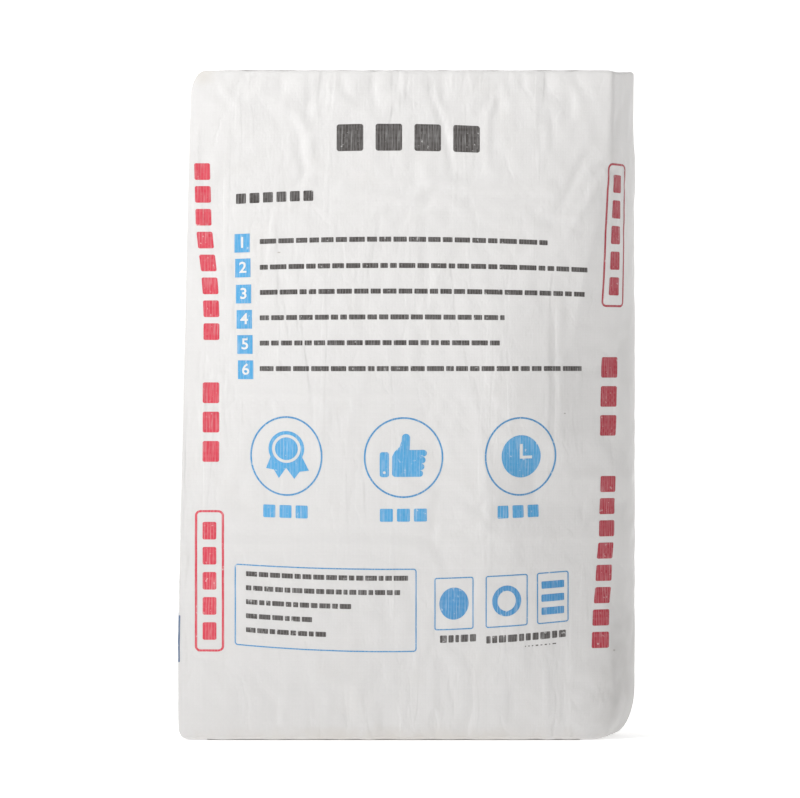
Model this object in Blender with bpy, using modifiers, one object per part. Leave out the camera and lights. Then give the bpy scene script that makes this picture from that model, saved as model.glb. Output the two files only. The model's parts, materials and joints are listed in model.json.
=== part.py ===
"""A filled cement sack: a block-bottom valve sack of coated woven polypropylene, standing on its bottom end.

X runs across the sack, -Y is its front and Z is up. The origin lies on the floor, under the middle of the sack.
"""
from math import cos, pi, sqrt

import bmesh
import bpy
import numpy as np
from mathutils import Vector

# Driving dimensions, in metres
HEIGHT = 0.629  # floor to the top of the cover patch
HALF_WIDTH = 0.2185  # the sack's middle line to either side, at the foot
DEPTH = 0.142  # front to back where the sack is fullest
END_DEPTH = 0.112  # front fold to back fold of the block ends
PLY = 0.0008  # the cover patches and the valve sleeve, as stiff thin plates
GAP = 0.0003  # left between two pieces that touch

# The block ends are six-sided: the short side folds out to a point on the sack's side crease.
END_CORNER_IN = 0.0195  # how far the right corner folds run inside the side crease at the foot
LEFT_CORNER_IN = 0.0076  # the left ones, from foot to head
HEAD_CORNER_IN = 0.0245  # the right ones at the head
FOLD_RADIUS = 0.004  # the folds round the ends
FOLD_CREASE = 0.55  # how sharp they are, from 0 to 1
CORNER_CREASE = 0.9  # the upright folds that run from the corners of the ends and fade out
FOLD_LAND = 0.016  # from the folds in to the flat of the end

# The filled middle keeps the left corner folds. Its right half is a superellipse, rounded at the side.
LEFT_DEPTH = 0.128  # front fold to back fold on the left
LEFT_POWER = 2.0  # how the front curves back to the fold
FRONT_POWER = 5.0
SIDE_POWER = 2.0
FOOT_REACH = 0.19  # height over which the foot turns from block end to full section
HEAD_REACH = 0.31  # the same below the head, where the sack is slacker

# Where the filled sack is uneven
LEFT_LEAN = 0.0118  # the left side leans in by this from foot to head, and the right side stays upright
VALVE_DROP = 0.025  # height of the rounded valve corner, at the left of the head
VALVE_CUT = 0.018  # and its width
VALVE_REACH = 0.06  # how far in from the left the fabric gives way to it
FOOT_TUCK_HEIGHT = 0.046  # the right foot corner is pressed round
FOOT_TUCK_WIDTH = 0.0225
SAG = 0.24  # share of its depth that the slack right side lacks below the middle
SAG_FROM = 0.07
SAG_WIDTH = 0.12  # over which it grows
SAG_TOP = 0.45
SAG_FADE = 0.13  # below its top
TUCK_FROM = 0.10  # the tuck fades out towards the middle of the sack from here
PRESS_FROM = 0.169  # the pressed corner's own fold starts here at the floor
PRESS_HEIGHT = 0.081  # and reaches the end's corner at this height
PRESS_REST = 0.65  # the share of its depth that it keeps at the side

# Cover patches and valve
PATCH_DEPTH = 0.098
BOTTOM_PATCH_HALF = 0.175
BOTTOM_PATCH_SHIFT = -0.012  # the pressed corner leaves less flat foot on the right
TOP_PATCH_LEFT = -0.176
TOP_PATCH_RIGHT = 0.190
SLEEVE_LEFT = -0.1795  # the mouth shows past the patch's end
SLEEVE_LENGTH = 0.062
SLEEVE_DEPTH = 0.086
JOGGLE = 0.006  # length of the step in the top patch, where it climbs over the sleeve

# Mesh of the sack: a coarse cage, subdivided once
FRONT_STEPS = 7  # middle of the front to an end corner
SIDE_STEPS = 3  # end corner to the side crease
RINGS = 13
OUTLINE_SAMPLES = 720

BASE = PLY + GAP  # underside of the sack, on its bottom patch
CROWN = HEIGHT - 2 * PLY - 2 * GAP  # top of the sack, under sleeve and patch

MATERIALS = {
    "woven_film": ((0.86, 0.855, 0.84), 0.42),
    "cover_film": ((0.83, 0.825, 0.81), 0.45),
    "valve_paper": ((0.66, 0.56, 0.44), 0.75),
}


def material(name):
    """A Principled material, made once for each finish."""
    found = bpy.data.materials.get(name)
    if found:
        return found
    colour, roughness = MATERIALS[name]
    made = bpy.data.materials.new(name)
    made.use_nodes = True
    shader = made.node_tree.nodes["Principled BSDF"]
    shader.inputs["Base Color"].default_value = (*colour, 1.0)
    shader.inputs["Roughness"].default_value = roughness
    shader.inputs["Metallic"].default_value = 0.0
    return made


def add_object(name, shape, finish, collection):
    """Put a bmesh into the scene as a named object."""
    mesh = bpy.data.meshes.new(name)
    shape.to_mesh(mesh)
    shape.free()
    piece = bpy.data.objects.new(name, mesh)
    collection.objects.link(piece)
    mesh.materials.append(material(finish))
    mesh.shade_smooth()
    mesh.set_sharp_from_angle(angle=pi / 4)
    return piece


def smooth_step(value):
    """0 below 0, 1 above 1, and an even curve between them."""
    t = min(max(value, 0.0), 1.0)
    return t * t * (3 - 2 * t)


def quarter_steps():
    """Fabric lengths from the front's middle to the side crease, as shares of that quarter."""
    front = HALF_WIDTH - END_CORNER_IN
    side = sqrt(END_CORNER_IN**2 + (END_DEPTH / 2) ** 2)
    along = [front * i / FRONT_STEPS for i in range(FRONT_STEPS)]
    along += [front + side * i / SIDE_STEPS for i in range(SIDE_STEPS)]
    return np.array(along + [front + side]) / (front + side)


def folded_quarter(corner_in, corner_depth, depth):
    """From the front's middle to the side crease, with a point on the fold: depths are front to back."""
    corner = HALF_WIDTH - corner_in
    x = np.linspace(0.0, corner, FRONT_STEPS + 1)
    y = -depth / 2 + (depth - corner_depth) / 2 * (x / corner) ** LEFT_POWER
    side = np.linspace((corner, -corner_depth / 2), (HALF_WIDTH, 0.0), SIDE_STEPS + 1)
    return np.vstack([np.column_stack([x, y]), side[1:]])


def end_outline(right_corner_in):
    """A block end."""
    quarters = [folded_quarter(corner_in, END_DEPTH, END_DEPTH) for corner_in in (LEFT_CORNER_IN, right_corner_in)]
    return whole_outline(*quarters)


def full_outline():
    """The filled middle section."""
    angles = np.linspace(-pi / 2, 0, OUTLINE_SAMPLES)
    x = HALF_WIDTH * np.cos(angles).clip(0) ** (2 / FRONT_POWER)
    y = -DEPTH / 2 * np.abs(np.sin(angles)) ** (2 / SIDE_POWER)
    rounded = along_path(np.column_stack([x, y]), quarter_steps())
    return whole_outline(folded_quarter(LEFT_CORNER_IN, LEFT_DEPTH, DEPTH), rounded)


def along_path(path, shares):
    """Points at the given shares of a path's length."""
    lengths = np.concatenate([[0.0], np.cumsum(np.linalg.norm(np.diff(path, axis=0), axis=1))])
    wanted = shares * lengths[-1]
    return np.column_stack([np.interp(wanted, lengths, path[:, i]) for i in range(2)])


def whole_outline(left_quarter, right_quarter):
    """The front's two quarters, both given as right ones, mirrored to all four, round from the front's middle."""
    right = np.vstack([right_quarter, right_quarter[-2::-1] * [1, -1]])
    left = np.vstack([left_quarter, left_quarter[-2::-1] * [1, -1]])
    return np.vstack([right, left[-2:0:-1] * [-1, 1]])


def fullness(z):
    """0 at the block ends and 1 where the sack is full. The walls swell out straight from the folds."""
    short = max(1 - z / FOOT_REACH, 1 - (HEIGHT - z) / HEAD_REACH, 0.0)
    return 1 - min(short, 1.0) ** 2


def uneven(x, y, z):
    """The section point moved for the slack and leaning sides, the valve corner and the pressed foot corner."""
    y *= 1 - SAG * fullness(z) * smooth_step((x - SAG_FROM) / SAG_WIDTH) * smooth_step((SAG_TOP - z) / SAG_FADE)
    if z > HEIGHT - VALVE_DROP:
        rise = 1 - (HEIGHT - z) / VALVE_DROP
        x += VALVE_CUT * (1 - sqrt(1 - rise * rise)) * smooth_step(1 - (x + HALF_WIDTH) / VALVE_REACH)
    lean = LEFT_LEAN / 2 * z / HEIGHT
    x = x * (1 - lean / HALF_WIDTH) + lean
    if z < FOOT_TUCK_HEIGHT:
        x -= foot_tuck(z) * smooth_step((x - TUCK_FROM) / (HALF_WIDTH - TUCK_FROM))
    if z < PRESS_HEIGHT:
        y *= pressed(x, y, z)
    return x, y, z


def foot_tuck(z):
    """How far the right foot corner is pressed in at a height."""
    rise = max(1 - z / FOOT_TUCK_HEIGHT, 0.0)
    return FOOT_TUCK_WIDTH * (1 - sqrt(1 - rise * rise))


def pressed(x, y, z):
    """The share of its depth that a point of the right foot corner keeps, beyond the corner's own fold."""
    side = HALF_WIDTH - foot_tuck(z)
    fold = PRESS_FROM + (HALF_WIDTH - END_CORNER_IN - PRESS_FROM) * z / PRESS_HEIGHT
    half_depth = (END_DEPTH + (DEPTH - END_DEPTH) * fullness(z)) / 2
    limit = half_depth * (PRESS_REST + (1 - PRESS_REST) * max(side - x, 0.0) / (side - fold))
    return min(1.0, limit / abs(y)) if x > fold and y else 1.0


def inset(outline, distance):
    """The outline drawn in by a distance on each side."""
    half = np.abs(outline).max(axis=0)
    return outline * (1 - distance / half)


def ring_levels():
    """(height, inset) of each ring, closer together towards the ends."""
    low, high = BASE + FOLD_RADIUS, CROWN - FOLD_RADIUS
    levels = [(BASE, FOLD_LAND), (BASE, FOLD_RADIUS)]
    for i in range(RINGS):
        levels.append((low + (high - low) * (1 - cos(pi * i / (RINGS - 1))) / 2, 0.0))
    return levels + [(CROWN, FOLD_RADIUS), (CROWN, FOLD_LAND)]


def crease_folds(shape, rings):
    """Sharpen the folds round both ends and the upright folds, which fade out on the right."""
    crease = shape.edges.layers.float.new("crease_edge")
    count = len(rings[0])
    for ring in (rings[1], rings[2], rings[-3], rings[-2]):
        for i in range(count):
            shape.edges.get((ring[i], ring[(i + 1) % count]))[crease] = FOLD_CREASE
    half = count // 2
    for lower, upper in zip(rings, rings[1:]):
        slack = 1 - fullness((lower[0].co.z + upper[0].co.z) / 2)
        for i in (FRONT_STEPS, half - FRONT_STEPS):
            shape.edges.get((lower[i], upper[i]))[crease] = CORNER_CREASE * slack
        for i in (half + FRONT_STEPS, count - FRONT_STEPS):
            shape.edges.get((lower[i], upper[i]))[crease] = CORNER_CREASE


def sack_body(collection):
    """The filled sack as one solid: a loft from the bottom end, through the full section, to the top end."""
    foot, head, full = end_outline(END_CORNER_IN), end_outline(HEAD_CORNER_IN), full_outline()
    shape = bmesh.new()
    rings = []
    for z, drawn_in in ring_levels():
        end = foot if z < HEIGHT / 2 else head
        outline = end + (full - end) * fullness(z)
        if drawn_in:
            outline = inset(outline, drawn_in)
        rings.append([shape.verts.new(uneven(x, y, z)) for x, y in outline])
    count = len(rings[0])
    for lower, upper in zip(rings, rings[1:]):
        for i in range(count):
            j = (i + 1) % count
            shape.faces.new([lower[i], lower[j], upper[j], upper[i]])
    shape.faces.new(rings[0][::-1])
    shape.faces.new(rings[-1])
    crease_folds(shape, rings)
    piece = add_object("sack_body", shape, "woven_film", collection)
    rounding = piece.modifiers.new("rounding", "SUBSURF")
    rounding.levels = 1
    rounding.render_levels = 1
    return piece


def plate(name, low, high, finish, collection):
    """A thin flat plate between two corners."""
    size, middle = Vector(high) - Vector(low), (Vector(high) + Vector(low)) / 2
    shape = bmesh.new()
    bmesh.ops.create_cube(shape, size=1.0)
    bmesh.ops.scale(shape, vec=size, verts=shape.verts)
    bmesh.ops.translate(shape, vec=middle, verts=shape.verts)
    return add_object(name, shape, finish, collection)


def bottom_patch(collection):
    """The cover patch that the sack stands on."""
    left = BOTTOM_PATCH_SHIFT - BOTTOM_PATCH_HALF
    right = BOTTOM_PATCH_SHIFT + BOTTOM_PATCH_HALF
    low, high = (left, -PATCH_DEPTH / 2, 0.0), (right, PATCH_DEPTH / 2, PLY)
    return plate("bottom_patch", low, high, "cover_film", collection)


def valve_sleeve(collection):
    """The flat sleeve of the filling valve, which lies on the left of the top end with its mouth at the corner."""
    under = CROWN + GAP
    low = (SLEEVE_LEFT, -SLEEVE_DEPTH / 2, under)
    high = (SLEEVE_LEFT + SLEEVE_LENGTH, SLEEVE_DEPTH / 2, under + PLY)
    return plate("valve_sleeve", low, high, "valve_paper", collection)


def top_patch(collection):
    """The cover patch over the top end: its left part lies on the sleeve, and it steps down to the sack beyond."""
    step = SLEEVE_LEFT + SLEEVE_LENGTH + 2 * GAP
    lower, upper = CROWN + GAP, CROWN + 2 * GAP + PLY
    profile = [(TOP_PATCH_LEFT, upper), (step, upper), (step + JOGGLE, lower), (TOP_PATCH_RIGHT, lower)]
    shape = bmesh.new()
    front = [shape.verts.new((x, -PATCH_DEPTH / 2, z)) for x, z in profile]
    back = [shape.verts.new((x, PATCH_DEPTH / 2, z)) for x, z in profile]
    for i in range(len(profile) - 1):
        shape.faces.new([front[i], front[i + 1], back[i + 1], back[i]])
    piece = add_object("top_patch", shape, "cover_film", collection)
    thickness = piece.modifiers.new("thickness", "SOLIDIFY")
    thickness.thickness = PLY
    thickness.offset = 1.0
    return piece


def main():
    for old in list(bpy.data.objects):
        bpy.data.objects.remove(old, do_unlink=True)
    collection = bpy.data.collections.new("cement_sack")
    bpy.context.scene.collection.children.link(collection)
    for build in (sack_body, bottom_patch, valve_sleeve, top_patch):
        build(collection)


main()
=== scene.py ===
"""The filled cement sack as photographed: fabric with its folds, print, cover sheets, valve and light.

Lengths are in metres. A place on the tube of fabric is (s, z): s runs round the sack to the right, from the
front's middle line, and z is the height that the tube would have there without its folds.
"""
import json
import random
from math import cos, pi, sin, sqrt, tau

import bmesh
import bpy
import numpy as np
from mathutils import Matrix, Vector

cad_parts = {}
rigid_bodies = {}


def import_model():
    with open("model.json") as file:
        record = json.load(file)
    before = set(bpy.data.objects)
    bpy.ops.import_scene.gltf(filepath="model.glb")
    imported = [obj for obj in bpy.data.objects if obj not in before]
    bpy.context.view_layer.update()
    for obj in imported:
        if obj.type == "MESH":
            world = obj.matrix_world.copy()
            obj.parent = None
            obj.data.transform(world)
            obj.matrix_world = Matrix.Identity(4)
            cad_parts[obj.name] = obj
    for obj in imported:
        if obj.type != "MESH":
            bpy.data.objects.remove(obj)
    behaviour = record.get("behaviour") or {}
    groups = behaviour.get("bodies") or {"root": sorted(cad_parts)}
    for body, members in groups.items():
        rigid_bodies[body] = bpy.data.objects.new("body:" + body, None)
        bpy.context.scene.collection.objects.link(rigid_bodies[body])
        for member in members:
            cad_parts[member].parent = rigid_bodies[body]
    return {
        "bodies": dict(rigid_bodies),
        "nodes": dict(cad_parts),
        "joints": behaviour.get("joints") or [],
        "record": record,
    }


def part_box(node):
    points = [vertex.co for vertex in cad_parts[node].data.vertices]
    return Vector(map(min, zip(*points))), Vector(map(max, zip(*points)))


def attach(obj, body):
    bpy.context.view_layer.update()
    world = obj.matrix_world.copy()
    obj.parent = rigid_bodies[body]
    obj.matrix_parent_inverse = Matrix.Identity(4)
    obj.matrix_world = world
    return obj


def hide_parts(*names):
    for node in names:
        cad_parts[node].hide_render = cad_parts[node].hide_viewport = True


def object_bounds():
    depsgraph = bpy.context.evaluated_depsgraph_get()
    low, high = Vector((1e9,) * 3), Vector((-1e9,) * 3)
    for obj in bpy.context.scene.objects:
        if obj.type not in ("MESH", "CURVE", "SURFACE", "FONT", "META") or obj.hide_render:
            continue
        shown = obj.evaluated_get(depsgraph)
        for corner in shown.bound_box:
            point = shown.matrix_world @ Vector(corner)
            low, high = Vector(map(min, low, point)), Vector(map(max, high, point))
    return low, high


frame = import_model()
MM = 0.001
cad_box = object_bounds()
HEIGHT = cad_box[1].z

SACK_LOW, SACK_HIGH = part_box("sack_body")
BASE, CROWN = SACK_LOW.z, SACK_HIGH.z
HALF_WIDTH = SACK_HIGH.x
DEPTH = SACK_HIGH.y - SACK_LOW.y

# The block ends and the uneven places, near the solid's own values
END_DEPTH = 0.112
END_CORNER_IN = 0.0195
LEFT_CORNER_IN = 0.0044
HEAD_CORNER_IN = 0.0245
LEFT_DEPTH = 0.128
LEFT_POWER = 2.0
FOLD_RADIUS = 0.0035
FOLD_SOFTNESS = 0.0032  # how far a corner's upright fold is rounded
FRONT_POWER = 5.0
SIDE_POWER = 2.0
FOOT_REACH = 0.19
HEAD_REACH = 0.31
LEFT_LEAN = 0.0122
LEAN_FROM = 0.09  # the left side stands upright below this height
VALVE_DROP = 0.025
VALVE_CUT = 0.018
FOOT_TUCK_HEIGHT = 0.046
FOOT_TUCK_WIDTH = 0.0225
TUCK_FROM = 0.10
SAG = 0.24
SAG_FROM, SAG_WIDTH = 0.07, 0.12
SAG_TOP, SAG_FADE = 0.49, 0.13
RIGHT_FOLD = [  # (height, x) of a fold that runs down and in from the head's right corner
    (0.26, 0.146), (0.305, 0.143), (0.35, 0.144), (0.38, 0.155), (0.445, 0.168), (0.50, 0.180), (0.55, 0.187)
]
RIGHT_FOLD_SHARE = 0.15  # of the front's depth, lost beyond this fold
RIGHT_FOLD_WIDTH = 0.05  # over which the loss grows
RIGHT_FOLD_FOOT, RIGHT_FOLD_HEAD = (0.24, 0.05), (0.53, 0.08)  # where it fades, and over what height
DENT_X, DENT_Z = (0.073, 0.045), (0.238, 0.040)  # where the front steps back to the right, and how wide
DENT_SHARE, DENT_FADE = 0.08, 1.3
PRESS_FROM = 0.169
PRESS_HEIGHT, PRESS_FADE = 0.081, 0.03
PRESS_SHARPNESS = 12
PRESS_REST = 0.65  # the share of its depth that the pressed corner keeps at the side
EAR_RISE = 0.0045  # the right corners of the head stand up
EAR_FROM = 0.194
EAR_HEIGHT = 0.045
VALVE_REACH = 0.06  # how far in from the left the fabric gives way to the valve corner's rounding
HEEL_HEIGHT = 0.012  # rounding of the left foot corner
HEEL_WIDTH = 0.012
HEEL_REACH = 0.04

# How the fabric's slack settles
SLACK = 0.03  # spare fabric at the block ends
SLACK_EVERYWHERE = 0.0025
SETTLE_STEP = 2  # the simulation runs on every second row and column
SETTLE_FRAMES = 20
SETTLE_CAP = 0.006
HOLD = 0.15
BENDING = 0.1
RIPPLE, RIPPLE_REST = 0.00012, 0.35  # height of the ripples, and their share where the sack is full

# Mesh of the sack
CELL = 0.003
PLACE_STEPS = 12
OUTLINE_SAMPLES = 2000
FRONT_STEPS = round((HALF_WIDTH - END_CORNER_IN) / CELL)
SIDE_STEPS = round(END_DEPTH / 2 / CELL)
FOLD_STEPS = 4

# The photograph's 800 by 798 pixels and its viewpoint
FRAME_WIDTH_PX = 800
SACK_WIDTH_PX = 456.5
SACK_MIDDLE_PX = 406.5
CAMERA_DISTANCE = 3.0
CAMERA_HEIGHT = 0.3195

PRINT_LIFT = 0.00012  # a film of ink stands this far off the fabric
SMILE = 0.288  # the artwork's lower rows curve up to both sides by this times the distance squared
SMILE_FULL_AT, SMILE_NONE_AT = 0.130, 0.350
SMILE_MIDDLE = -0.0186


def share(value):
    """A value kept between 0 and 1."""
    return np.clip(value, 0.0, 1.0)


def smooth_step(value):
    """0 below 0, 1 above 1, and an even curve between them."""
    t = share(value)
    return t * t * (3 - 2 * t)


def closed(ring):
    """A ring of columns with the first one once more at the end."""
    return np.concatenate([ring, ring[:, :1]], axis=1)


def quarter_lengths():
    """Fabric lengths from the front's middle to the side crease, with a point on the fold."""
    front = HALF_WIDTH - END_CORNER_IN
    side = sqrt(END_CORNER_IN**2 + (END_DEPTH / 2) ** 2)
    along = [front * i / FRONT_STEPS for i in range(FRONT_STEPS)]
    return np.array(along + [front + side * i / SIDE_STEPS for i in range(SIDE_STEPS + 1)])


QUARTER = quarter_lengths()
HALF_GIRTH = 2 * QUARTER[-1]
COLUMNS = 4 * (FRONT_STEPS + SIDE_STEPS)
MIDDLE = COLUMNS // 2  # the column on the front's middle line
LEFT_FOLDS = (MIDDLE - FRONT_STEPS, MIDDLE - FRONT_STEPS - 2 * SIDE_STEPS)  # columns of the two crisp folds


def whole_outline(quarter):
    """A quarter outline mirrored to all four, from the back's middle round by the left."""
    right = np.vstack([quarter, quarter[-2::-1] * [1, -1]])
    left = right[:0:-1] * [-1, 1]
    return np.vstack([left, right])


def column_s():
    """The s of each column, and once more the back's middle at the end."""
    right = np.concatenate([QUARTER, HALF_GIRTH - QUARTER[-2::-1]])
    return np.concatenate([-right[:0:-1], right])


def folded_quarter(corner_in, corner_depth, depth):
    """From the front's middle to the side crease, with a point on the fold."""
    corner = HALF_WIDTH - corner_in
    x = np.linspace(0.0, corner, FRONT_STEPS + 1)
    y = -depth / 2 + (depth - corner_depth) / 2 * (x / corner) ** LEFT_POWER
    side = np.linspace((corner, -corner_depth / 2), (HALF_WIDTH, 0.0), SIDE_STEPS + 1)
    return np.vstack([np.column_stack([x, y]), side[1:]])


def joined_halves(left_quarter, right_quarter):
    """A whole outline of two unlike halves, its right folds a little rounded."""
    left, right = whole_outline(left_quarter), whole_outline(right_quarter)
    ring = np.vstack([left[:MIDDLE], right[MIDDLE:-1]])
    offsets = np.arange(-4, 5)
    weights = np.exp(-((offsets * CELL / FOLD_SOFTNESS) ** 2))
    rounded = sum(np.roll(ring, k, axis=0) * w for k, w in zip(offsets, weights)) / weights.sum()
    for fold in LEFT_FOLDS:
        rounded[fold + offsets] = ring[fold + offsets]
    return np.vstack([rounded, rounded[:1]])


def end_outline(right_corner_in):
    """A block end, six-sided."""
    corners = LEFT_CORNER_IN, right_corner_in
    return joined_halves(*(folded_quarter(corner_in, END_DEPTH, END_DEPTH) for corner_in in corners))


def full_outline():
    """The filled middle section: its left keeps the folds, and its right is rounded."""
    angles = np.linspace(-pi / 2, 0, OUTLINE_SAMPLES)
    x = HALF_WIDTH * np.cos(angles).clip(0) ** (2 / FRONT_POWER)
    y = -DEPTH / 2 * np.abs(np.sin(angles)) ** (2 / SIDE_POWER)
    lengths = np.append(0.0, np.cumsum(np.linalg.norm([np.diff(x), np.diff(y)], axis=0)))
    wanted = QUARTER / QUARTER[-1] * lengths[-1]
    rounded = np.column_stack([np.interp(wanted, lengths, values) for values in (x, y)])
    return joined_halves(folded_quarter(LEFT_CORNER_IN, LEFT_DEPTH, DEPTH), rounded)


def wall_rows():
    """(height, inset) of each row of the wall, with a quarter circle at both folds."""
    turns = [pi / 2 * i / FOLD_STEPS for i in range(FOLD_STEPS)]
    foot = [(BASE + FOLD_RADIUS * (1 - cos(t)), FOLD_RADIUS * (1 - sin(t))) for t in turns]
    low, high = BASE + FOLD_RADIUS, CROWN - FOLD_RADIUS
    count = round((high - low) / CELL)
    wall = [(low + (high - low) * i / count, 0.0) for i in range(count + 1)]
    head = [(CROWN + BASE - z, drawn_in) for z, drawn_in in foot[::-1]]
    return np.array(foot + wall + head)


def fullness(z):
    """0 at the block ends and 1 where the sack is full."""
    short = np.maximum(np.maximum(1 - z / FOOT_REACH, 1 - (HEIGHT - z) / HEAD_REACH), 0.0)
    return 1 - np.minimum(short, 1.0) ** 2


def lean_at(z):
    """How far the section's middle is to the right at a height, and its half width less."""
    return LEFT_LEAN / 2 * share((z - LEAN_FROM) / (HEIGHT - LEAN_FROM))


def rounding(width, nearness):
    """How far an edge is rounded off: the whole width at a nearness of 1, and nothing below 0."""
    near = share(nearness)
    return width * (1 - np.sqrt(1 - near * near))


def foot_tuck(z):
    """How far the right foot corner is pressed in at a height."""
    return rounding(FOOT_TUCK_WIDTH, 1 - z / FOOT_TUCK_HEIGHT)


def uneven(points):
    """Points moved for the slack and leaning sides, the right fold and the uneven corners."""
    x, y, z = points[..., 0], points[..., 1], points[..., 2]
    sag = SAG * fullness(z) * smooth_step((x - SAG_FROM) / SAG_WIDTH) * smooth_step((SAG_TOP - z) / SAG_FADE)
    line = np.interp(z, *np.array(RIGHT_FOLD).T)
    folded = share((x - line) / RIGHT_FOLD_WIDTH) * smooth_step((z - RIGHT_FOLD_FOOT[0]) / RIGHT_FOLD_FOOT[1])
    folded = RIGHT_FOLD_SHARE * folded * smooth_step((RIGHT_FOLD_HEAD[0] - z) / RIGHT_FOLD_HEAD[1])
    dent = share((x - DENT_X[0]) / DENT_X[1]) * smooth_step(DENT_FADE - np.abs(z - DENT_Z[0]) / DENT_Z[1])
    y = y * (1 - sag - (folded + DENT_SHARE * dent) * (y < 0))
    heel, cut = rounding(HEEL_WIDTH, 1 - z / HEEL_HEIGHT), rounding(VALVE_CUT, 1 - (HEIGHT - z) / VALVE_DROP)
    for inward, reach in ((heel, HEEL_REACH), (cut, VALVE_REACH)):
        x = x + inward * smooth_step(1 - (x + HALF_WIDTH) / reach)
    lean = lean_at(z)
    x = x * (1 - lean / HALF_WIDTH) + lean
    x = x - foot_tuck(z) * smooth_step((x - TUCK_FROM) / (HALF_WIDTH - TUCK_FROM))
    ear = smooth_step((x - EAR_FROM) / (HALF_WIDTH - EAR_FROM)) * smooth_step(1 - (CROWN - z) / EAR_HEIGHT)
    return np.stack([x, y * pressed(x, y, z), z + EAR_RISE * ear], axis=-1)


def pressed(x, y, z):
    """The share of its depth that a point of the pressed right foot corner keeps."""
    side = HALF_WIDTH - foot_tuck(z)
    fold = PRESS_FROM + (HALF_WIDTH - END_CORNER_IN - PRESS_FROM) * z / PRESS_HEIGHT
    half_depth = (END_DEPTH + (DEPTH - END_DEPTH) * fullness(z)) / 2
    slope = np.maximum(side - x, 1e-5) / np.maximum(side - fold, END_CORNER_IN / 2)
    limit = half_depth * (PRESS_REST + (1 - PRESS_REST) * slope)
    ratio = np.minimum(np.abs(y) / limit, 100.0)
    kept = (1 + ratio**PRESS_SHARPNESS) ** (-1 / PRESS_SHARPNESS)
    return 1 - (1 - kept) * smooth_step((PRESS_HEIGHT - z) / PRESS_FADE) * (x > 0)


def plain_wall():
    """The wall without its folds, row by row from the foot."""
    z, inset = wall_rows().T[:, :, None, None]
    end = np.where(z < HEIGHT / 2, end_outline(END_CORNER_IN), end_outline(HEAD_CORNER_IN))
    outline = end + (full_outline() - end) * fullness(z)
    outline = outline * (1 - inset / np.abs(outline).max(axis=1, keepdims=True))
    return uneven(np.concatenate([outline, np.broadcast_to(z, outline.shape[:2] + (1,))], axis=2))


def normals_of(wall):
    """Outward normals of the wall's points."""
    ring = wall[:, :-1]
    around = np.roll(ring, -1, axis=1) - np.roll(ring, 1, axis=1)
    normal = closed(np.cross(around, np.gradient(ring, axis=0)))
    return normal / np.linalg.norm(normal, axis=2, keepdims=True)


# Folds seen from the front, in millimetres: (rise, width, path of (x, z)), a valley where the rise is below 0
FOLDS = [
    # down from the head
    (-1.3, 4, [(21.7, 623), (24.9, 599), (33.5, 581), (40.3, 550), (47.7, 515)]),
    (0.9, 3.5, [(28, 605), (36.5, 581), (44, 560)]), (-0.9, 6, [(35.5, 623), (35, 592)]),
    (0.8, 2, [(62.1, 600), (62.1, 582)]), (1.1, 2.2, [(88.6, 607), (78.3, 586), (77.4, 577), (77.4, 530)]),
    (-1, 4.5, [(87.6, 616), (87.6, 583)]), (-0.9, 5, [(99, 623), (100, 602)]),
    (-0.8, 4, [(111, 623), (111, 611)]), (-1.1, 6, [(135, 623), (134, 602)]),
    (-1.1, 6, [(156.5, 613), (157.4, 583)]), (-1, 6, [(161, 623), (168, 606)]),
    (-0.7, 3.5, [(138.7, 588), (138.7, 553)]), (-0.6, 3, [(127, 572), (127, 550)]),
    (-1.1, 3.5, [(-101.4, 582), (-92.9, 566), (-91.7, 547), (-88.2, 534), (-91.7, 517)]),
    (0.8, 5, [(-95, 590), (-84, 566), (-82, 548), (-80, 534)]),
    (-1.1, 3.5, [(-84.2, 623), (-83.3, 601), (-85.2, 580)]),
    (-1.2, 5, [(-57.3, 623), (-52.7, 606), (-45, 598)]),
    (-1.2, 4.5, [(-29.4, 623), (-28.5, 606), (-24.8, 585)]), (-1.2, 9, [(-108.4, 624), (-107.5, 602)]),
    (-1, 7, [(-140.9, 624), (-140.9, 598)]), (0.8, 4, [(-167.8, 623), (-155.8, 606), (-142.8, 588)]),
    (-0.9, 13, [(-122, 597), (-106, 564)]), (-0.8, 7, [(-10, 623), (-8, 608)]),
    # on the front
    (-0.7, 3, [(6.8, 510), (34.7, 514), (47.7, 511)]), (-0.7, 3.5, [(12, 497), (25, 502)]),
    (-0.7, 3.5, [(56, 498), (62, 507)]), (-0.8, 4, [(104, 505), (123, 511)]),
    (0.6, 6, [(-30, 512), (0, 505), (30, 522), (60, 518)]), (-0.9, 9, [(170, 545), (155, 515), (139, 479)]),
    (0.9, 8, [(182, 520), (165, 492), (152, 470)]), (-0.7, 6, [(131, 483), (154, 484)]),
    (0.6, 2.5, [(135, 404), (135, 355), (136, 322), (135, 281)]),
    (-0.6, 3, [(139, 404), (139, 355), (140, 322), (139, 281)]), (-0.6, 12, [(153.6, 413), (153.6, 353)]),
    (-0.8, 4, [(76, 205), (69, 217), (75, 226)]), (-0.6, 10, [(30, 236), (25, 190), (35, 160)]),
    # up from the foot
    (-0.9, 3, [(-113, 40), (-113, 13)]), (0.6, 3, [(-108, 28), (-106, 8)]),
    (-0.7, 3, [(-50.3, 48), (-50.3, 18)]), (-0.6, 5, [(-62, 50), (-64, 12)]),
    (0.8, 2.2, [(25.4, 76), (25.4, 22)]), (0.5, 2, [(49.5, 52), (49.5, 34)]),
    (-0.7, 3, [(99.7, 48), (99.7, 20)]), (0.7, 2.5, [(132.2, 70), (132.2, 14)]),
    (-0.6, 5, [(60, 30), (58, 6)]), (-0.6, 6, [(-20, 34), (-22, 6)]), (-0.8, 2, [(177, 49), (184, 30)]),
    (0.7, 2, [(180, 50), (187, 31)]), (-0.8, 2, [(183.5, 50), (190, 33)]), (0.7, 2, [(187, 49), (193, 35)]),
]
RANDOM_FOLDS = 90  # smaller ones on the sides and the back, and slack ones below the head
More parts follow.
